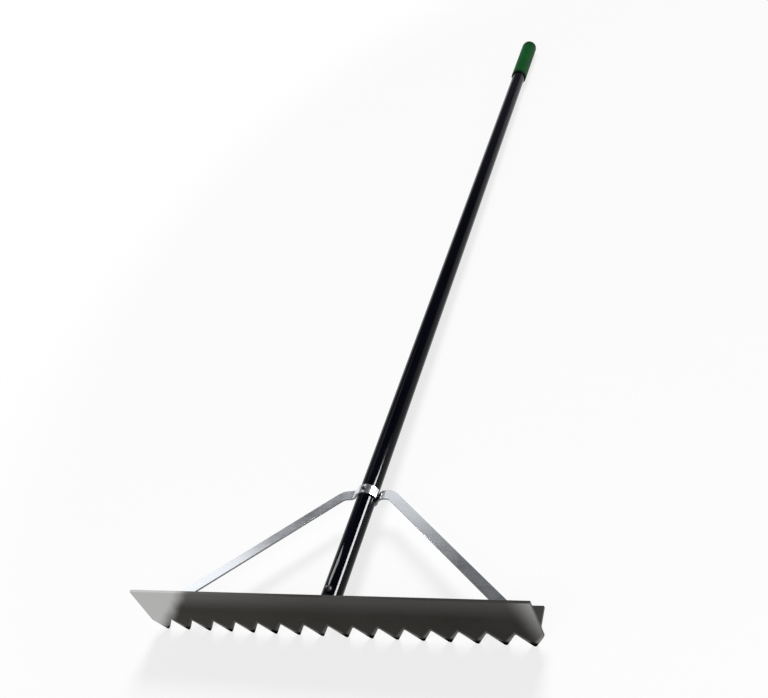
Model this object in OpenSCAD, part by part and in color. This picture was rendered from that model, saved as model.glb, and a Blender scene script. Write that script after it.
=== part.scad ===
// Long-handled leveling rake: a toothed T-section blade, a tube handle with an end grip,
// and two flat braces, hooked round the handle, that run out to the rib of the blade.
// The tool is laid out straight: X along the blade, Y along the handle, Z up from the tooth tips.
// At rest it lies on its tooth tips and the end of its grip.

/* [Blade] */
// Length of the blade, end to end
blade_length = 610; // [400:1:900]
// Height of the blade, tooth tips to straight edge
blade_height = 93; // [80:0.5:130]
// Thickness of the blade
blade_t = 4; // [3:0.1:6]
// Spacing of the teeth
tooth_pitch = 38.4; // [30:0.1:50]
// Depth of the teeth, tip to root
tooth_depth = 24; // [14:0.5:27]
// Radius of the rounded tooth tips
tip_r = 3; // [1:0.1:5]
// Width of the flat root between two teeth
root_flat = 2.2; // [0.5:0.1:6]

/* [Rib] */
// Depth of the rib behind the blade
rib_depth = 28; // [24:0.5:40]
// Thickness of the rib
rib_t = 4; // [3:0.2:6]
// Radius of the fillets between the rib and the blade
rib_fillet = 3; // [1:0.1:5]
// Height of the handle's axis above the tooth tips
axis_height = 42.6; // [38:0.1:55]
// Distance from the handle's axis down to the middle of the rib
rib_drop = 2.5; // [0:0.1:4]

/* [Handle] */
// Length of the tool, front of the blade to end of the grip
tool_length = 1765; // [1200:5:2200]
// Outer diameter of the handle tube
handle_d = 30; // [24:0.5:34]
// Wall of the handle tube
handle_wall = 1.5; // [1.2:0.1:3.5]
// Length of the core inside the tube behind the rear bolt
core_tail = 32; // [15:1:80]

/* [Grip] */
// Length of the end grip, lip to dome
grip_length = 182; // [120:1:300]
// Wall of the end grip
grip_wall = 3; // [2:0.1:6]
// Radius of the rounding on the lip of the grip
grip_lip_r = 1.5; // [0.5:0.1:1.8]

/* [Braces] */
// Distance from the front of the blade to the middle of the hooks round the handle
hook_pos = 218; // [160:1:300]
// Width of the brace bars
brace_w = 16; // [14:0.5:22]
// Thickness of the brace bars
brace_t = 3; // [2:0.1:4]
// Inner radius of the bend between a hook and its bar
hook_bend_r = 16; // [10:0.5:20]
// Straight run of a bar between its hook and its corner
corner_lead = 2.5; // [2:0.5:10]
// Radius of the corner, along the middle of the bar
corner_r = 20; // [16:1:45]
// Distance from the ends of the blade to the bolts at the feet of the braces
foot_margin = 42; // [20:0.5:80]
// Distance from the back of the blade to those bolts
foot_inset = 16; // [13:0.5:18]

/* [Fasteners] */
// Diameter of the bolts
bolt_d = 6; // [5:0.5:8]
// Diameter of the domed bolt heads
head_d = 12; // [10:0.5:13]
// Height of the domed bolt heads
head_h = 3.4; // [2.5:0.1:5]
// Width of the nuts across their flats
nut_w = 10; // [9:0.5:12]
// Height of the nuts
nut_h = 5; // [4:0.5:7]
// Diameter of the washers
washer_d = 12; // [11:0.5:14]
// Thickness of the washers, and of the saddle washers over the crown of the tube
washer_t = 1.6; // [1:0.1:2.5]
// Length of bolt that stands out of its nut
bolt_tail = 2; // [1:0.5:6]
// Distance from the back of the rib to the middle of the rear handle bolt
rear_bolt_gap = 6; // [6:0.5:20]
// Diameter of the screws that hold the hooks on the handle
screw_d = 4; // [3:0.5:5]
// Diameter of their heads
screw_head_d = 7; // [6:0.5:9]
// Height of their heads
screw_head_h = 2.6; // [2:0.1:4]

/* [Hidden] */
$fn = 64;

// Overrun of every cut past the faces that it opens
overrun = 1;
// Clearance of a bolt in its hole, on the radius
hole_gap = 0.25;
// Clearance of a bolt in its nut or washer, on the radius
thread_gap = 0.1;
// Clearance between curved faces that seat on each other
seat_gap = 0.1;
// Clearance of the rib in the slots of the tube and the core, on each side
slot_gap = 0.2;
// Steps of a round tooth tip on each side of its lowest point
tip_steps = 5;
// Angle by which the wedge of a corner overlaps the straight of its bar
corner_overlap = 10;
// Depth by which the round stretches of a brace cut into the straight ones, so that they meet cleanly
blend = 0.005;
// Angle by which each hook ends short of the height of the handle's axis
hook_end_angle = 10;
// Depth of the cross recess in the screw's head, as a share of the head's height
recess_depth_share = 0.45;
// Length and width of the recess, as shares of the head's diameter
recess_length_share = 0.62;
recess_width_share = 0.14;
// Depth of the screw below the wall of the tube, as a share of its diameter
screw_reach_share = 1.5;
// Chamfer on the corners of the nuts, as a share of their height
nut_chamfer_share = 0.16;

// Teeth: half the width at the root, and the half angle of the round tips between their tangent flanks
tooth_count = round(blade_length / tooth_pitch);
root_half = (tooth_pitch - root_flat) / 2;
flank_rise = tooth_depth - tip_r;
tip_angle = 90 - acos(tip_r / norm([root_half, flank_rise])) + atan2(flank_rise, root_half);

// Rib, which the braces lie flat on
rib_z = axis_height - rib_drop;
brace_z = rib_z + rib_t / 2;
brace_top = brace_z + brace_t;
stack_bottom = rib_z - rib_t / 2;

// Handle, grip and core
handle_r = handle_d / 2;
bore_r = handle_r - handle_wall;
core_r = bore_r - seat_gap;
rib_back = blade_t + rib_depth;
tube_start = blade_t + rib_fillet + slot_gap;
slot_end = rib_back + slot_gap;
front_bolt_y = blade_t + rib_depth / 2;
rear_bolt_y = rib_back + rear_bolt_gap;
core_end = rear_bolt_y + core_tail;
grip_bore_r = handle_r + seat_gap;
grip_r = grip_bore_r + grip_wall;
dome_y = tool_length - grip_r;
grip_start = tool_length - grip_length;

// Hooks: the left brace bends up over the handle and the right one, upside down, under it.
// A bar's outer face is the one on the inside of its bend, here as a height from the handle's axis
hook_bore_r = handle_r + seat_gap;
hook_r = hook_bore_r + brace_t;
over_face = brace_top - axis_height;
under_face = axis_height - brace_z;

// Place of the centre of a bend from the handle's axis, along the blade and outwards
function bend_z(face) = face + hook_bend_r - blend;
function bend_x(face) = sqrt(pow(hook_r + hook_bend_r - blend, 2) - pow(bend_z(face), 2));

// Bars of the braces, each joined to its hook in the middle third of the lead
lead_third = corner_lead / 3;
corner_x = bend_x(under_face) + corner_lead;
straight_r = corner_r - blend;
corner_y = hook_pos - straight_r;
foot_x = blade_length / 2 - foot_margin;
foot_y = blade_t + foot_inset;
foot_reach = norm([foot_x - corner_x, foot_y - corner_y]);
brace_angle = atan2(corner_y - foot_y, foot_x - corner_x) + asin(straight_r / foot_reach);
brace_run = sqrt(foot_reach * foot_reach - straight_r * straight_r);

// Fasteners
bolt_r = bolt_d / 2;
hole_r = bolt_r + hole_gap;
nut_bore_r = bolt_r + thread_gap;
saddle_top = handle_r + washer_t;

// Rest: the tool tips down about its tooth tips until the grip meets the ground
rest_arm = dome_y - blade_t;
rest_tilt = acos(grip_r / norm([axis_height, rest_arm])) - atan2(rest_arm, axis_height);
rest_length = dome_y * cos(rest_tilt) + axis_height * sin(rest_tilt) + grip_r;
rest_lift = blade_t * sin(rest_tilt);

// Places the straight tool at rest, centred over the origin
module at_rest() {
    translate([0, -rest_length / 2, rest_lift])
        rotate([-rest_tilt, 0, 0])
            children();
}

// Moves to a point on the handle's axis, with Z along the axis
module on_axis(y) {
    translate([0, y, axis_height])
        rotate([-90, 0, 0])
            children();
}

// Draws a flat outline in the plane across the tool, as a plate from y towards the grip
module across(y, thickness) {
    translate([0, y + thickness, 0])
        rotate([90, 0, 0])
            linear_extrude(thickness)
                children();
}

// One tooth: straight flanks tangent to a round tip, and a stub that overlaps the blade above the root
module tooth_outline() {
    polygon([
        [-root_half, tooth_depth + overrun],
        [-root_half, tooth_depth],
        for (i = [-tip_steps : tip_steps])
            let (a = tip_angle * i / tip_steps)
            [tip_r * sin(a), tip_r * (1 - cos(a))],
        [root_half, tooth_depth],
        [root_half, tooth_depth + overrun]
    ]);
}

// Blade with its row of teeth, seen from the front
module blade_outline() {
    translate([-blade_length / 2, tooth_depth])
        square([blade_length, blade_height - tooth_depth]);
    intersection() {
        translate([-blade_length / 2, 0])
            square([blade_length, blade_height]);
        for (i = [0 : tooth_count - 1])
            translate([(i - (tooth_count - 1) / 2) * tooth_pitch, 0])
                tooth_outline();
    }
}

// One fillet between the blade and the rib, with its corner at the origin
module fillet_outline() {
    difference() {
        square(rib_fillet);
        translate([rib_fillet, rib_fillet])
            circle(rib_fillet);
    }
}

// Rib behind the blade, seen along the blade
module rib_outline() {
    translate([0, -rib_t / 2])
        square([rib_depth, rib_t]);
    for (side = [0, 1])
        mirror([0, side])
            translate([0, rib_t / 2])
                fillet_outline();
}

// Upright hole for a bolt, from below the handle to above it
module bolt_hole(x, y) {
    translate([x, y, axis_height - saddle_top])
        cylinder(r = hole_r, h = 2 * saddle_top);
}

module toothed_blade() {
    at_rest() color([0.42, 0.42, 0.42])
        difference() {
            union() {
                across(0, blade_t)
                    blade_outline();
                translate([-blade_length / 2, blade_t, rib_z])
                    rotate([90, 0, 90])
                        linear_extrude(blade_length)
                            rib_outline();
            }
            bolt_hole(0, front_bolt_y);
            bolt_hole(foot_x, foot_y);
            bolt_hole(-foot_x, foot_y);
        }
}

// Slot that lets the rib into the end of the tube and the core
module rib_slot() {
    slot_t = rib_t + 2 * slot_gap;
    translate([-handle_r - overrun, tube_start - overrun, rib_z - slot_t / 2])
        cube([handle_d + 2 * overrun, slot_end - tube_start + overrun, slot_t]);
}

// Hole for a screw, from the handle's axis up through the hook, or mirrored down through it
module screw_hole(side) {
    translate([0, hook_pos, axis_height])
        mirror([0, 0, side < 0 ? 1 : 0])
            cylinder(r = screw_d / 2 + thread_gap, h = hook_r + overrun);
}

module handle_tube() {
    at_rest() color([0.06, 0.06, 0.07])
        difference() {
            on_axis(tube_start)
                cylinder(r = handle_r, h = dome_y - tube_start);
            on_axis(tube_start - overrun)
                cylinder(r = bore_r, h = dome_y - tube_start + 2 * overrun);
            rib_slot();
            bolt_hole(0, front_bolt_y);
            bolt_hole(0, rear_bolt_y);
            screw_hole(1);
            screw_hole(-1);
        }
}

module handle_core() {
    at_rest() color([0.72, 0.58, 0.4])
        difference() {
            on_axis(tube_start)
                cylinder(r = core_r, h = core_end - tube_start);
            rib_slot();
            bolt_hole(0, front_bolt_y);
            bolt_hole(0, rear_bolt_y);
        }
}

module end_grip() {
    at_rest() color([0.08, 0.36, 0.17])
        difference() {
            union() {
                on_axis(grip_start + grip_lip_r)
                    cylinder(r = grip_r, h = dome_y - grip_start - grip_lip_r);
                on_axis(grip_start)
                    cylinder(r = grip_r - grip_lip_r, h = 2 * grip_lip_r);
                on_axis(grip_start + grip_lip_r)
                    rotate_extrude()
                        translate([grip_r - grip_lip_r, 0])
                            circle(grip_lip_r);
                on_axis(dome_y)
                    sphere(grip_r);
            }
            on_axis(grip_start - overrun)
                cylinder(r = grip_bore_r, h = dome_y - grip_start + overrun);
        }
}

// Bar of a right-hand brace out to a given line beside its corner, seen from above about the corner's centre
module bar_side(side_r) {
    wedge_angle = brace_angle + corner_overlap;
    reach = 2 * side_r;
    lead = 2 * lead_third;
    translate([-lead, 0])
        square([lead, side_r - blend]);
    intersection() {
        circle(side_r);
        polygon([
            [0, 0],
            [-lead, 0],
            [-lead, reach],
            [reach * sin(wedge_angle / 2), reach * cos(wedge_angle / 2)],
            [reach * sin(wedge_angle), reach * cos(wedge_angle)]
        ]);
    }
    rotate(-brace_angle)
        square([brace_run, side_r - blend]);
}

// The same bar between its two sides, with its round foot
module bar_outline() {
    foot = [foot_x - corner_x, foot_y - corner_y];
    difference() {
        union() {
            difference() {
                bar_side(corner_r + brace_w / 2);
                bar_side(corner_r - brace_w / 2);
            }
            translate(foot)
                circle(brace_w / 2 + blend);
        }
        translate(foot)
            circle(hole_r);
    }
}

module brace_bar() {
    translate([corner_x, corner_y, brace_z])
        linear_extrude(brace_t)
            bar_outline();
}

// Hook over the handle and its bar as far as the corner, seen along the handle:
// a half ring, then a bend that leads out into the bar
module hook_outline(face) {
    bend = [bend_x(face), bend_z(face)];
    back = face - brace_t;
    low = min(0, back) - overrun;
    end_x = corner_x - lead_third;
    reach = 2 * hook_r;
    difference() {
        union() {
            intersection() {
                circle(hook_r);
                polygon([
                    [0, 0],
                    [reach, 0],
                    [reach, reach],
                    [-reach, reach],
                    [-reach, reach * tan(hook_end_angle)]
                ]);
            }
            difference() {
                polygon([
                    [0, 0],
                    [0, back],
                    [end_x, back],
                    [end_x, face],
                    [bend[0], face],
                    bend
                ]);
                translate(bend)
                    circle(hook_bend_r);
            }
        }
        circle(hook_bore_r);
        difference() {
            polygon([
                [0, 0],
                [0, low],
                [bend[0], low],
                [bend[0], back],
                bend
            ]);
            translate(bend)
                circle(hook_bend_r + brace_t);
        }
    }
}

// A hook as wide as its bar, from its outline about the handle's axis
module hook() {
    translate([0, 0, axis_height])
        across(hook_pos - brace_w / 2, brace_w)
            children();
}

module brace_left() {
    at_rest() color([0.78, 0.79, 0.8])
        mirror([1, 0, 0])
            difference() {
                union() {
                    brace_bar();
                    hook()
                        hook_outline(over_face);
                }
                screw_hole(1);
            }
}

module brace_right() {
    at_rest() color([0.78, 0.79, 0.8])
        difference() {
            union() {
                brace_bar();
                hook()
                    mirror([0, 1])
                        hook_outline(under_face);
            }
            screw_hole(-1);
        }
}

// Domed head, flat side down at the origin
module dome(d, h) {
    dome_r = (d * d / 4 + h * h) / (2 * h);
    intersection() {
        translate([0, 0, h - dome_r])
            sphere(dome_r);
        cylinder(d = d, h = h);
    }
}

// Screw through the crown of the upper hook into the tube, or mirrored through the lower hook
module hook_screw(side) {
    recess_h = screw_head_h * recess_depth_share;
    recess_l = screw_head_d * recess_length_share;
    recess_w = screw_head_d * recess_width_share;
    screw_length = brace_t + handle_wall + seat_gap + screw_d * screw_reach_share;
    at_rest() color([0.1, 0.1, 0.1])
        translate([0, hook_pos, axis_height])
            mirror([0, 0, side < 0 ? 1 : 0])
                translate([0, 0, hook_r])
                    difference() {
                        union() {
                            dome(screw_head_d, screw_head_h);
                            translate([0, 0, -screw_length])
                                cylinder(d = screw_d, h = screw_length + screw_head_h / 2);
                        }
                        for (turn = [0, 90])
                            rotate(turn)
                                translate([-recess_l / 2, -recess_w / 2, screw_head_h - recess_h])
                                    cube([recess_l, recess_w, recess_h + overrun]);
                    }
}

module upper_hook_screw() { hook_screw(1); }
module lower_hook_screw() { hook_screw(-1); }

// Domed bolt: its head sits at the top height, and it stands out of a nut below the bottom height
module bolt(x, y, top, bottom) {
    bolt_end = bottom - nut_h - bolt_tail;
    translate([x, y, top])
        dome(head_d, head_h);
    translate([x, y, bolt_end])
        cylinder(r = bolt_r, h = top - bolt_end + head_h / 2);
}

// Hex nut below a given height, with chamfered corners
module nut(x, y, top) {
    corner_r = nut_w / 2 / cos(30);
    chamfer = nut_h * nut_chamfer_share;
    translate([x, y, top - nut_h])
        difference() {
            intersection() {
                cylinder(r = corner_r, h = nut_h, $fn = 6);
                union() {
                    translate([0, 0, chamfer])
                        cylinder(r = corner_r, h = nut_h - chamfer);
                    cylinder(r1 = corner_r - 2 * chamfer, r2 = corner_r, h = chamfer);
                }
            }
            translate([0, 0, -overrun])
                cylinder(r = nut_bore_r, h = nut_h + 2 * overrun);
        }
}

// Flat washer below a given height
module washer(x, y, top) {
    translate([x, y, top - washer_t])
        difference() {
            cylinder(d = washer_d, h = washer_t);
            translate([0, 0, -overrun])
                cylinder(r = nut_bore_r, h = washer_t + 2 * overrun);
        }
}

// Washer hollowed to sit on the tube, above the axis or mirrored below it
module saddle_washer(y, side) {
    at_rest() color([0.1, 0.1, 0.1])
        translate([0, y, axis_height])
            mirror([0, 0, side < 0 ? 1 : 0])
                difference() {
                    cylinder(d = washer_d, h = saddle_top);
                    rotate([90, 0, 0])
                        cylinder(r = handle_r + seat_gap, h = washer_d + 2 * overrun, center = true);
                    cylinder(r = nut_bore_r, h = saddle_top + overrun);
                }
}

module handle_bolt(y) {
    at_rest() color([0.1, 0.1, 0.1])
        bolt(0, y, axis_height + saddle_top, axis_height - saddle_top);
}

module handle_nut(y) {
    at_rest() color([0.1, 0.1, 0.1])
        nut(0, y, axis_height - saddle_top);
}

module front_handle_bolt() { handle_bolt(front_bolt_y); }
module front_handle_nut() { handle_nut(front_bolt_y); }
module front_upper_saddle_washer() { saddle_washer(front_bolt_y, 1); }
module front_lower_saddle_washer() { saddle_washer(front_bolt_y, -1); }
module rear_handle_bolt() { handle_bolt(rear_bolt_y); }
module rear_handle_nut() { handle_nut(rear_bolt_y); }
module rear_upper_saddle_washer() { saddle_washer(rear_bolt_y, 1); }
module rear_lower_saddle_washer() { saddle_washer(rear_bolt_y, -1); }

// Fasteners at the feet of the braces, through the brace and the rib
module foot_bolt(x) {
    at_rest() color([0.8, 0.8, 0.78])
        bolt(x, foot_y, brace_top, stack_bottom - washer_t);
}

module foot_washer(x) {
    at_rest() color([0.8, 0.8, 0.78])
        washer(x, foot_y, stack_bottom);
}

module foot_nut(x) {
    at_rest() color([0.8, 0.8, 0.78])
        nut(x, foot_y, stack_bottom - washer_t);
}

module left_foot_bolt() { foot_bolt(-foot_x); }
module left_foot_washer() { foot_washer(-foot_x); }
module left_foot_nut() { foot_nut(-foot_x); }
module right_foot_bolt() { foot_bolt(foot_x); }
module right_foot_washer() { foot_washer(foot_x); }
module right_foot_nut() { foot_nut(foot_x); }

toothed_blade();
handle_tube();
handle_core();
end_grip();
brace_left();
brace_right();
upper_hook_screw();
lower_hook_screw();
front_handle_bolt();
front_handle_nut();
front_upper_saddle_washer();
front_lower_saddle_washer();
rear_handle_bolt();
rear_handle_nut();
rear_upper_saddle_washer();
rear_lower_saddle_washer();
left_foot_bolt();
left_foot_washer();
left_foot_nut();
right_foot_bolt();
right_foot_washer();
right_foot_nut();
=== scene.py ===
import math

import bpy
from mathutils import Matrix, Vector


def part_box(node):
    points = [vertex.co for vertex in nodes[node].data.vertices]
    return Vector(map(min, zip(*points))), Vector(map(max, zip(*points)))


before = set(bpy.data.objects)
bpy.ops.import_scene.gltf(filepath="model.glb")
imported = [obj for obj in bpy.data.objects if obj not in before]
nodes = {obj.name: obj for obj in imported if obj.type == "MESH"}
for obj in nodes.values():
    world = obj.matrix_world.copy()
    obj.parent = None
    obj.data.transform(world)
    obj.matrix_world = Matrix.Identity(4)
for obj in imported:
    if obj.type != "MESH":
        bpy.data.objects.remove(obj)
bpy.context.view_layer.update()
scene = bpy.context.scene
scene.view_settings.view_transform = "Standard"

# Camera: place, target and depth in metres
CAMERA_PLACE = (0.66184, -1.51141, 1.05015)
CAMERA_TARGET = (-0.10034, -0.2773, 0.0)
CAMERA_ROLL = math.radians(-25.307)
LENS_MM = 44.816
SENSOR_MM = 36.0
VIEW_DEPTH = 100.0

# Key light, which doesn't show in gloss or metal
KEY_DIRECTION = (0.0, 0.74, 0.67)
KEY_DISTANCE = 5.0
KEY_IRRADIANCE = 3.0
KEY_ANGLE = math.radians(20.0)

# Soft boxes. The camera sees none of them, and without matt they show in gloss and metal only.
SOFT_BOXES = {
    # plain fill from the front
    "front_fill": {
        "place": (0.2, -2.8, 2.3), "target": (0.0, -0.6, 0.0),
        "width": 2.2, "height": 1.4, "radiance": 2.0, "matt": True,
    },
    # main line of light on the handle, patch on the hook
    "right_box": {
        "place": (1.87, 0.31, 1.02), "target": (0.0, -0.6, 0.04),
        "width": 1.1, "height": 0.68, "radiance": 95.0, "matt": False,
    },
    # lower half of the left brace, left end of the blade
    "left_box": {
        "place": (-1.64, 0.07, 1.58), "target": (-0.15, -0.76, 0.05),
        "width": 0.85, "height": 0.95, "radiance": 1.2, "matt": False,
    },
    # second, thinner line on the handle next to the blade
    "left_strip": {
        "place": (-0.068, -0.747, 0.133), "target": (0.0, -0.81, 0.057),
        "width": 0.065, "height": 0.045, "radiance": 22.0, "matt": False,
    },
    # left side of the hook, upper half of the left brace
    "hook_box": {
        "place": (-1.345, 0.662, 1.193), "target": (0.0, -0.66, 0.06),
        "width": 0.43, "height": 0.6, "radiance": 0.32, "matt": False,
    },
    # hook, upper half of the right brace
    "back_box": {
        "place": (-0.86, 0.87, 1.46), "target": (0.05, -0.7, 0.05),
        "width": 0.52, "height": 0.65, "radiance": 1.0, "matt": False,
    },
}

# Room: levels by the height of a direction, which is 0 at the horizon and 1 overhead
ROOM_TINT = (1.0, 1.0, 1.03)
HORIZON_LIGHT = 0.22
ZENITH_LIGHT = 0.11
LIGHT_FADE = (0.1, 0.75)
WALL_WHITE = 1.0
WALL_FADE = (0.1, 0.28)

# Floor: plain white lies over the shadow, partly near the object and fully further out
FLOOR_HALF = 14.0
FLOOR_COLOUR = (0.97, 0.97, 0.97)
SHADOW_NEAR = 0.7
SHADOW_FAR = 1.1
SHADOW_VEIL = 0.78
SHADOW_STRETCH = (1.0, 0.62, 1.0)

# Places on the part, in metres
BLADE_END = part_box("toothed_blade")[1][0]
BLADE_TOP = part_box("toothed_blade")[1][2]
GRIP_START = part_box("end_grip")[0][1]
GRIP_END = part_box("end_grip")[1][1]
TOOTH_PITCH = 0.0384
TIP_PHASE = 0.5
FLANK_SLOPE = 0.85

# Where the looks of the blade change, in metres
# Painted reflection: a paler band along the straight edge, strongest at the left
PALE_HEIGHTS = (BLADE_TOP - 0.043, BLADE_TOP + 0.002)
PALE_SPAN = (0.005 - BLADE_END, 0.0)
# Painted reflection: lighter flanks on the teeth
LIT_FLANK_DEPTHS = (0.0023, 0.0083)
LIT_FLANK_HEIGHTS = (0.004, 0.012)
LIT_FLANK_SPAN = (0.005 - BLADE_END, BLADE_END - 0.005)
# Painted reflection: bright ends, leaning with height
REFLECTION_LEAN = 0.9
REFLECTION_RAGGED = 0.03
REFLECTION_LEFT = (BLADE_END - 0.012, BLADE_END + 0.021)
REFLECTION_RIGHT = (BLADE_END - 0.019, BLADE_END + 0.049)
REFLECTION_RIGHT_SHARE = 0.18
SAWN_TOP_SPAN = (-0.06, 0.12)
# Painted shade: dark tips of the teeth
TIP_SHADE_HEIGHTS = (-0.009, 0.002)
TIP_SHADE_RAGGED = 0.02

# Where the looks of the handle and the grip change, in metres along the handle
# Painted reflection: bluish grey over the far part of the handle
PAINTED_SHEEN_SPAN = (GRIP_START - 0.6, GRIP_START - 0.05)
# Painted shade: darker lip and dome of the grip
LIP_SHADE = (GRIP_START + 0.0005, GRIP_START + 0.0155)
DOME_SHADE = (GRIP_END - 0.0377, GRIP_END - 0.0067)

# Stretched patterns: scales along the three axes, and turns
BLADE_LINES = (3.0, 900.0, 900.0)
SCRATCH_LINES = (9.0, 260.0, 700.0)
SCRATCH_TURN = (0.0, 0.5, 0.0)
BRACE_LINES = (4.0, 500.0, 500.0)
BRACE_TURN = math.radians(42.0)
HANDLE_CLOUDS = (1.0, 0.2, 1.0)
WOOD_GRAIN = (260.0, 8.0, 260.0)

# Spread of a noise's values, for a strong and a mild contrast
STRONG = (0.35, 0.65)
MILD = (0.3, 0.7)

# Shares of a normal along an axis between which a face comes to count as facing that way
FACING = (0.6, 0.9)
# for the painted dark reflection on the brace edges
DARK_EDGE_FACING = (0.35, 0.55)

# Colours
BLADE_DARK = (0.015, 0.0145, 0.013)
BLADE_LIGHT = (0.026, 0.025, 0.023)
# painted paler reflection along the straight edge
BLADE_PAINTED_PALE = (0.12, 0.116, 0.112)
# painted lighter reflection on the tooth flanks
BLADE_FLANK_REFLECTION = (0.19, 0.188, 0.178)
BLADE_SCRATCHED = (0.3, 0.3, 0.3)
# painted bright reflections at the ends
BLADE_REFLECTION_LEFT = (0.47, 0.47, 0.465)
BLADE_REFLECTION_RIGHT = (0.54, 0.54, 0.54)
BLADE_SAWN = (0.068, 0.067, 0.066)
BLADE_SHEEN = (0.75, 0.74, 0.72)
# painted shade at the tips of the teeth, in colour and edge tint
TIP_SHADE = (0.002, 0.002, 0.002)
TIP_SHADE_SHEEN = (0.02, 0.02, 0.02)
BRACE_DARK = (0.68, 0.71, 0.75)
BRACE_LIGHT = (0.82, 0.85, 0.89)
# painted dark reflection on the brace edges
BRACE_PAINTED_DARK_EDGE = (0.2, 0.205, 0.215)
HANDLE_DARK = (0.0007, 0.001, 0.003)
HANDLE_LIGHT = (0.002, 0.0025, 0.0066)
# painted bluish-grey reflection towards the grip
HANDLE_PAINTED_SHEEN = (0.0085, 0.0085, 0.0135)
HANDLE_DUST = (0.03, 0.03, 0.03)
GRIP_DARK = (0.003, 0.076, 0.014)
GRIP_LIGHT = (0.005, 0.102, 0.02)
GRIP_PITS = (0.002, 0.025, 0.006)
# painted shade on the grip's lip and dome
GRIP_PAINTED_SHADE = (0.001, 0.012, 0.004)
ZINC_DARK = (0.52, 0.52, 0.5)
ZINC_LIGHT = (0.78, 0.78, 0.75)
BLACK_DARK = (0.006, 0.006, 0.007)
BLACK_LIGHT = (0.016, 0.016, 0.017)
BLACK_RUBBED = (0.06, 0.06, 0.062)
WOOD_DARK = (0.42, 0.27, 0.14)
WOOD_LIGHT = (0.66, 0.48, 0.29)

# Roughness that dull places add
DULL_BLADE = 0.3
# on the brace edges with the painted dark reflection
DULL_DARK_EDGE = 0.25
DULL_DUST = 0.4

# Numbers of the colour sockets on Blender's Mix node
MIX_FIRST = 6
MIX_SECOND = 7
MIX_RESULT = 2

# Settings of nodes
BEVEL_SAMPLES = 4
OPAQUE = 1.0


class Nodes:
    """Short calls that build a node tree."""

    def __init__(self, tree):
        self.tree = tree

    def node(self, kind, **settings):
        made = self.tree.nodes.new(kind)
        for key, value in settings.items():
            setattr(made, key, value)
        return made

    def feed(self, socket, value):
        """Link an output to a socket, or write a number or colour on it."""
        if isinstance(value, bpy.types.NodeSocket):
            self.tree.links.new(value, socket)
        else:
            socket.default_value = value

    def axis(self, vector, letter):
        made = self.node("ShaderNodeSeparateXYZ")
        self.feed(made.inputs["Vector"], vector)
        return made.outputs[letter]

    def calc(self, kind, first, second=0.0):
        made = self.node("ShaderNodeMath", operation=kind)
        self.feed(made.inputs[0], first)
        self.feed(made.inputs[1], second)
        return made.outputs["Value"]

    def plus(self, first, second):
        return self.calc("ADD", first, second)

    def minus(self, first, second):
        return self.calc("SUBTRACT", first, second)

    def times(self, first, second):
        return self.calc("MULTIPLY", first, second)

    def larger(self, first, second):
        return self.calc("MAXIMUM", first, second)

    def blend(self, first, second, share):
        """Sum of a share of the first and the rest of the second."""
        return self.plus(self.times(first, share), self.times(second, 1.0 - share))

    def ramp(self, value, start, stop, low=0.0, high=1.0, curve="LINEAR"):
        """Go from low to high as the value goes from start to stop."""
        made = self.node("ShaderNodeMapRange", interpolation_type=curve)
        sockets = ("Value", "From Min", "From Max", "To Min", "To Max")
        for key, number in zip(sockets, (value, start, stop, low, high)):
            self.feed(made.inputs[key], number)
        return made.outputs["Result"]

    def fade(self, value, start, stop, low=0.0, high=1.0):
        """A ramp that starts and ends gently."""
        return self.ramp(value, start, stop, low, high, "SMOOTHSTEP")

    def seen(self):
        """1 for rays that show a background, straight, in gloss or through glass, and 0 for matt light."""
        path = self.node("ShaderNodeLightPath").outputs
        return self.larger(
            self.larger(path["Is Camera Ray"], path["Is Glossy Ray"]), path["Is Transmission Ray"])


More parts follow.
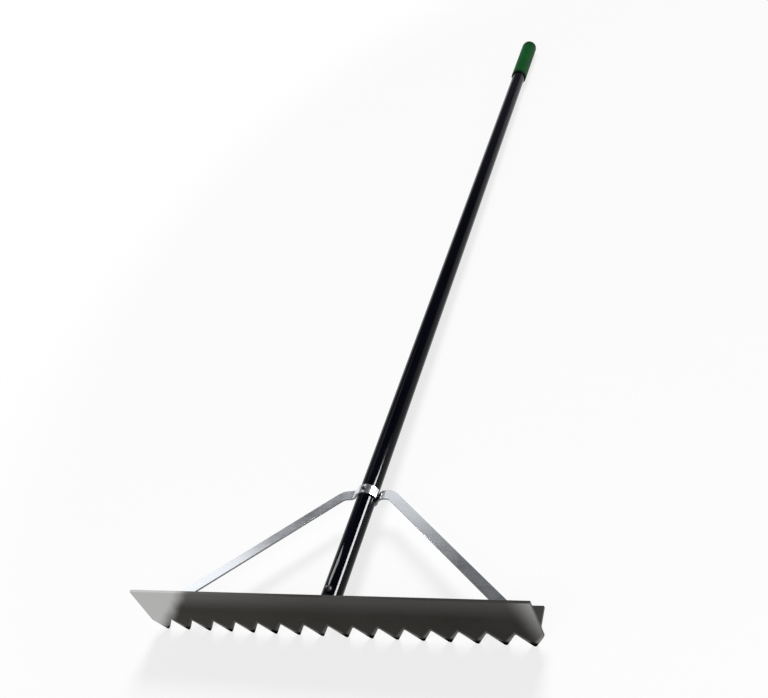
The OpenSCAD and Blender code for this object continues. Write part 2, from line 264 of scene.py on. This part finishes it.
class Look(Nodes):
    """A material, with short calls for what these looks share."""

    def __init__(self, name):
        self.material = bpy.data.materials.new(name)
        self.material.use_nodes = True
        super().__init__(self.material.node_tree)
        self.shader = self.tree.nodes["Principled BSDF"]
        coordinates = self.node("ShaderNodeTexCoord").outputs
        self.place = coordinates["Object"]
        self.normal = coordinates["Normal"]

    def set(self, **values):
        """Write plain values on the shader's own sockets, with _ for the spaces in their names."""
        for key, value in values.items():
            self.shader.inputs[key.replace("_", " ")].default_value = value

    def stretched(self, scale, turn=(0.0, 0.0, 0.0)):
        made = self.node("ShaderNodeMapping")
        for key, value in (("Vector", self.place), ("Scale", scale), ("Rotation", turn)):
            self.feed(made.inputs[key], value)
        return made.outputs["Vector"]

    def noise(self, scale=1.0, detail=4.0, roughness=0.6, distortion=0.0, vector=None):
        made = self.node("ShaderNodeTexNoise")
        self.feed(made.inputs["Vector"], self.place if vector is None else vector)
        sockets = ("Scale", "Detail", "Roughness", "Distortion")
        for key, value in zip(sockets, (scale, detail, roughness, distortion)):
            self.feed(made.inputs[key], value)
        return made.outputs["Fac"]

    def cells(self, scale):
        made = self.node("ShaderNodeTexVoronoi")
        self.feed(made.inputs["Vector"], self.place)
        self.feed(made.inputs["Scale"], scale)
        return made.outputs["Color"]

    def mix(self, factor, first, second):
        """Colour that goes from the first to the second as the factor goes from 0 to 1."""
        made = self.node("ShaderNodeMix", data_type="RGBA")
        self.feed(made.inputs["Factor"], factor)
        for number, colour in ((MIX_FIRST, first), (MIX_SECOND, second)):
            self.feed(made.inputs[number], (*colour, OPAQUE) if isinstance(colour, tuple) else colour)
        return made.outputs[MIX_RESULT]

    def colour(self, value):
        self.feed(self.shader.inputs["Base Color"], value)

    def rough(self, value):
        self.feed(self.shader.inputs["Roughness"], value)

    def bump(self, height, strength, distance, edge=0.0):
        """Fine relief. An edge radius makes the solid's edges catch light as rounded ones do."""
        made = self.node("ShaderNodeBump")
        if edge:
            soft = self.node("ShaderNodeBevel", samples=BEVEL_SAMPLES)
            self.feed(soft.inputs["Radius"], edge)
            self.feed(made.inputs["Normal"], soft.outputs["Normal"])
        for key, value in (("Height", height), ("Strength", strength), ("Distance", distance)):
            self.feed(made.inputs[key], value)
        self.feed(self.shader.inputs["Normal"], made.outputs["Normal"])


# Camera, light and floor

def aimed(place, target, roll=0.0):
    """Matrix of a camera or lamp that looks from a place at a target."""
    turn = (Vector(target) - Vector(place)).to_track_quat("-Z", "Y").to_matrix().to_4x4()
    return Matrix.Translation(place) @ turn @ Matrix.Rotation(roll, 4, "Z")


def add_camera():
    data = bpy.data.cameras.new("camera")
    data.sensor_fit = "HORIZONTAL"
    data.sensor_width = SENSOR_MM
    data.lens = LENS_MM
    data.clip_end = VIEW_DEPTH
    camera = bpy.data.objects.new("camera", data)
    camera.matrix_world = aimed(CAMERA_PLACE, CAMERA_TARGET, CAMERA_ROLL)
    scene.collection.objects.link(camera)
    scene.camera = camera


def add_key():
    data = bpy.data.lights.new("key", "SUN")
    data.energy = KEY_IRRADIANCE
    data.angle = KEY_ANGLE
    key = bpy.data.objects.new("key", data)
    key.matrix_world = aimed(Vector(KEY_DIRECTION) * KEY_DISTANCE, (0.0, 0.0, 0.0))
    key.visible_glossy = False
    scene.collection.objects.link(key)


def add_soft_box(name, place, target, width, height, radiance, matt):
    """Rectangular lamp of a given radiance, so that its power follows its size."""
    data = bpy.data.lights.new(name, "AREA")
    data.shape = "RECTANGLE"
    data.size = width
    data.size_y = height
    data.energy = radiance * math.pi * width * height
    box = bpy.data.objects.new(name, data)
    box.matrix_world = aimed(place, target)
    box.visible_camera = False
    box.visible_diffuse = matt
    scene.collection.objects.link(box)


def add_world():
    """Dim room. Its low white wall is only for show, and matt surfaces get a plain fill instead."""
    world = bpy.data.worlds.new("studio")
    world.use_nodes = True
    room = Nodes(world.node_tree)
    height = room.axis(room.node("ShaderNodeTexCoord").outputs["Generated"], "Z")
    level = room.node("ShaderNodeMix")
    room.feed(level.inputs["Factor"], room.seen())
    room.feed(level.inputs["A"], room.fade(height, *LIGHT_FADE, HORIZON_LIGHT, ZENITH_LIGHT))
    room.feed(level.inputs["B"], room.fade(height, *WALL_FADE, WALL_WHITE, ZENITH_LIGHT))
    back = world.node_tree.nodes["Background"]
    room.feed(back.inputs["Color"], (*ROOM_TINT, OPAQUE))
    room.feed(back.inputs["Strength"], level.outputs["Result"])
    scene.world = world


def add_floor():
    """White floor that keeps a soft shadow near the object and is plain white further out."""
    mesh = bpy.data.meshes.new("floor")
    corners = [(x * FLOOR_HALF, y * FLOOR_HALF, 0.0) for x, y in ((-1, -1), (1, -1), (1, 1), (-1, 1))]
    mesh.from_pydata(corners, [], [(0, 1, 2, 3)])
    floor = bpy.data.objects.new("floor", mesh)
    scene.collection.objects.link(floor)
    look = Look("floor_white")
    look.set(Base_Color=(*FLOOR_COLOUR, OPAQUE), Roughness=0.95, Specular_IOR_Level=0.1)
    distance = look.node("ShaderNodeVectorMath", operation="LENGTH")
    look.feed(distance.inputs[0], look.stretched(SHADOW_STRETCH))
    white = look.fade(distance.outputs["Value"], SHADOW_NEAR, SHADOW_FAR, low=SHADOW_VEIL)
    glow = look.node("ShaderNodeEmission")
    both = look.node("ShaderNodeMixShader")
    look.feed(both.inputs["Fac"], look.times(look.seen(), white))
    look.feed(both.inputs[1], look.shader.outputs["BSDF"])
    look.feed(both.inputs[2], glow.outputs["Emission"])
    look.feed(look.tree.nodes["Material Output"].inputs["Surface"], both.outputs["Shader"])
    mesh.materials.append(look.material)


# Blade

def painted_pale_edge(look, x, z):
    """Mask of a painted paler reflection along the straight edge, strongest at the left."""
    return look.times(look.fade(z, *PALE_HEIGHTS), look.ramp(x, *PALE_SPAN, low=1.0, high=0.45))


def tooth_flank_reflection(look, x, z):
    """Mask of a painted lighter reflection on the flanks of the teeth, kept off their tips.

    The left flanks are lighter all along the blade, the right ones more and more towards its right end.
    """
    turn = look.calc("FRACT", look.calc("DIVIDE", x, TOOTH_PITCH))
    off_tip = look.times(look.calc("ABSOLUTE", look.minus(turn, TIP_PHASE)), TOOTH_PITCH)
    depth = look.minus(look.times(z, FLANK_SLOPE), off_tip)
    lit_flank = look.times(look.fade(depth, *LIT_FLANK_DEPTHS, low=1.0, high=0.0), look.fade(z, *LIT_FLANK_HEIGHTS))
    on_left = look.calc("LESS_THAN", turn, TIP_PHASE)
    on_right = look.calc("GREATER_THAN", turn, TIP_PHASE)
    left = look.times(on_left, look.ramp(x, *LIT_FLANK_SPAN, low=1.0, high=0.6))
    right = look.times(on_right, look.ramp(x, *LIT_FLANK_SPAN))
    return look.times(lit_flank, look.plus(left, right))


def scratches(look):
    """Mask of faint thin scratches."""
    marks = look.noise(detail=2.0, roughness=0.5, vector=look.stretched(SCRATCH_LINES, SCRATCH_TURN))
    return look.ramp(marks, start=0.7, stop=0.78, high=0.12)


def painted_bright_ends(look, x, z, cloud):
    """Masks of the painted bright reflection at the left and right ends. They reach further in along the
    straight edge.
    """
    lean = look.plus(look.times(z, REFLECTION_LEAN), look.times(cloud, REFLECTION_RAGGED))
    left = look.fade(look.minus(lean, x), *REFLECTION_LEFT)
    right = look.fade(look.plus(x, look.times(lean, REFLECTION_RIGHT_SHARE)), *REFLECTION_RIGHT)
    return left, right


def sawn_faces(look, x):
    """Mask of plain sawn metal: the right end, and the top of the straight edge except towards the left."""
    top = look.fade(look.axis(look.normal, "Z"), *FACING)
    top = look.times(top, look.fade(x, *SAWN_TOP_SPAN))
    return look.larger(top, look.fade(look.axis(look.normal, "X"), *FACING))


def tip_shade(look, z):
    """Mask of painted shade on the tips of the teeth, with a ragged border."""
    ragged = look.times(look.noise(scale=70.0), TIP_SHADE_RAGGED)
    return look.fade(look.minus(z, ragged), *TIP_SHADE_HEIGHTS, low=0.85, high=0.0)


def blade_look():
    """Dark satin steel; painted reflections light the tooth flanks, the straight edge and both ends, and
    painted shade darkens the tips.
    """
    look = Look("blade_steel")
    look.set(Metallic=1.0)
    x = look.axis(look.place, "X")
    z = look.axis(look.place, "Z")
    lines = look.noise(vector=look.stretched(BLADE_LINES))
    cloud = look.noise(scale=14.0, detail=5.0, distortion=0.4)
    tone = look.blend(lines, cloud, share=0.5)
    metal = look.mix(look.ramp(tone, *STRONG), BLADE_DARK, BLADE_LIGHT)
    # painted paler reflection along the straight edge
    metal = look.mix(painted_pale_edge(look, x, z), metal, BLADE_PAINTED_PALE)
    # painted lighter reflection on the tooth flanks
    metal = look.mix(tooth_flank_reflection(look, x, z), metal, BLADE_FLANK_REFLECTION)
    metal = look.mix(scratches(look), metal, BLADE_SCRATCHED)
    # painted bright reflections at both ends
    left, right = painted_bright_ends(look, x, z, cloud)
    metal = look.mix(left, metal, BLADE_REFLECTION_LEFT)
    metal = look.mix(right, metal, BLADE_REFLECTION_RIGHT)
    sawn = sawn_faces(look, x)
    metal = look.mix(sawn, metal, BLADE_SAWN)
    # painted shade at the tips, in colour and edge tint
    shaded_tip = tip_shade(look, z)
    look.colour(look.mix(shaded_tip, metal, TIP_SHADE))
    look.feed(look.shader.inputs["Specular Tint"], look.mix(shaded_tip, BLADE_SHEEN, TIP_SHADE_SHEEN))
    dull = look.times(look.larger(shaded_tip, sawn), DULL_BLADE)
    look.rough(look.plus(look.ramp(tone, *MILD, low=0.17, high=0.27), dull))
    look.bump(lines, strength=0.06, distance=0.0003)
    return look


# Other pieces

def brace_look(name, turn):
    """Bright aluminium with lines along the bar, and a painted dark reflection, dull, on the edges that
    face along the handle.
    """
    look = Look(name)
    look.set(Metallic=1.0)
    lines = look.noise(detail=3.0, vector=look.stretched(BRACE_LINES, (0.0, 0.0, turn)))
    cloud = look.noise(scale=30.0, distortion=0.3)
    tone = look.blend(lines, cloud, share=0.4)
    metal = look.mix(look.ramp(tone, *STRONG), BRACE_DARK, BRACE_LIGHT)
    # painted dark reflection on the edges that face along the handle
    dark_edge = look.fade(look.calc("ABSOLUTE", look.axis(look.normal, "Y")), *DARK_EDGE_FACING)
    look.colour(look.mix(dark_edge, metal, BRACE_PAINTED_DARK_EDGE))
    dull = look.times(dark_edge, DULL_DARK_EDGE)
    look.rough(look.plus(look.ramp(tone, *MILD, low=0.14, high=0.25), dull))
    look.bump(lines, strength=0.015, distance=0.0002, edge=0.0005)
    return look


def handle_look():
    """Gloss black coat with specks of dust, and a painted bluish-grey reflection that grows towards the
    grip.
    """
    look = Look("handle_black")
    look.set(Specular_IOR_Level=0.09)
    cloud = look.noise(scale=40.0, vector=look.stretched(HANDLE_CLOUDS))
    specks = look.noise(scale=1400.0, detail=2.0, roughness=0.5)
    dust = look.ramp(specks, start=0.72, stop=0.8, high=0.5)
    peel = look.noise(scale=260.0, detail=2.0, roughness=0.5)
    black = look.mix(look.ramp(cloud, start=0.35, stop=0.7), HANDLE_DARK, HANDLE_LIGHT)
    # painted bluish-grey reflection towards the grip
    black = look.mix(look.ramp(look.axis(look.place, "Y"), *PAINTED_SHEEN_SPAN), black, HANDLE_PAINTED_SHEEN)
    look.colour(look.mix(dust, black, HANDLE_DUST))
    dull = look.times(dust, DULL_DUST)
    look.rough(look.plus(look.ramp(cloud, *MILD, low=0.06, high=0.1), dull))
    look.bump(peel, strength=0.012, distance=0.0003, edge=0.0004)
    return look


def grip_look():
    """Green vinyl with fine pits, and painted shade darkening the lip and the dome."""
    look = Look("grip_green")
    look.set(Specular_IOR_Level=0.04)
    y = look.axis(look.place, "Y")
    cloud = look.noise(scale=25.0)
    stipple = look.noise(scale=900.0, detail=3.0)
    green = look.mix(look.ramp(cloud, *STRONG), GRIP_DARK, GRIP_LIGHT)
    green = look.mix(look.ramp(stipple, start=0.3, stop=0.5, low=0.4, high=0.0), green, GRIP_PITS)
    # painted shade at the lip and over the dome
    lip = look.fade(y, *LIP_SHADE, low=0.85, high=0.0)
    dome = look.fade(y, *DOME_SHADE, high=0.85)
    look.colour(look.mix(look.larger(lip, dome), green, GRIP_PAINTED_SHADE))
    look.rough(look.ramp(cloud, *MILD, low=0.42, high=0.55))
    look.bump(stipple, strength=0.15, distance=0.0004, edge=0.0006)
    return look


def zinc_look():
    """Zinc plate with a small spangle."""
    look = Look("zinc_steel")
    look.set(Metallic=1.0)
    cloud = look.noise(scale=160.0)
    shade = look.blend(look.cells(scale=900.0), cloud, share=0.4)
    look.colour(look.mix(look.ramp(shade, *MILD), ZINC_DARK, ZINC_LIGHT))
    look.rough(look.ramp(shade, *MILD, low=0.22, high=0.4))
    look.bump(cloud, strength=0.06, distance=0.0004, edge=0.0004)
    return look


def black_steel_look():
    """Black oxide, rubbed greyer in places."""
    look = Look("black_steel")
    look.set(Specular_IOR_Level=0.2)
    cloud = look.noise(scale=220.0)
    rubbed = look.ramp(look.noise(scale=520.0, detail=3.0), start=0.6, stop=0.72, high=0.6)
    black = look.mix(look.ramp(cloud, *STRONG), BLACK_DARK, BLACK_LIGHT)
    look.colour(look.mix(rubbed, black, BLACK_RUBBED))
    look.rough(look.ramp(cloud, *MILD, low=0.4, high=0.55))
    look.bump(cloud, strength=0.08, distance=0.0004, edge=0.0004)
    return look


def wood_look():
    """Plain wood with its grain along the handle."""
    look = Look("core_wood")
    grain = look.noise(distortion=0.6, vector=look.stretched(WOOD_GRAIN))
    look.colour(look.mix(look.ramp(grain, *MILD), WOOD_DARK, WOOD_LIGHT))
    look.rough(look.ramp(grain, *MILD, low=0.55, high=0.75))
    look.bump(grain, strength=0.2, distance=0.0005)
    return look


def named(*endings):
    return [name for name in nodes if name.endswith(endings)]


def dress(look, *names):
    for name in names:
        mesh = nodes[name].data
        mesh.materials.clear()
        mesh.materials.append(look.material)


add_camera()
add_floor()
add_world()
add_key()
for box_name, box_settings in SOFT_BOXES.items():
    add_soft_box(box_name, **box_settings)

dress(blade_look(), "toothed_blade")
dress(brace_look("brace_aluminium_left", -BRACE_TURN), "brace_left")
dress(brace_look("brace_aluminium_right", BRACE_TURN), "brace_right")
dress(handle_look(), "handle_tube")
dress(grip_look(), "end_grip")
dress(wood_look(), "handle_core")
dress(zinc_look(), *named("foot_bolt", "foot_washer", "foot_nut"))
dress(black_steel_look(), *named("hook_screw", "handle_bolt", "handle_nut", "saddle_washer"))
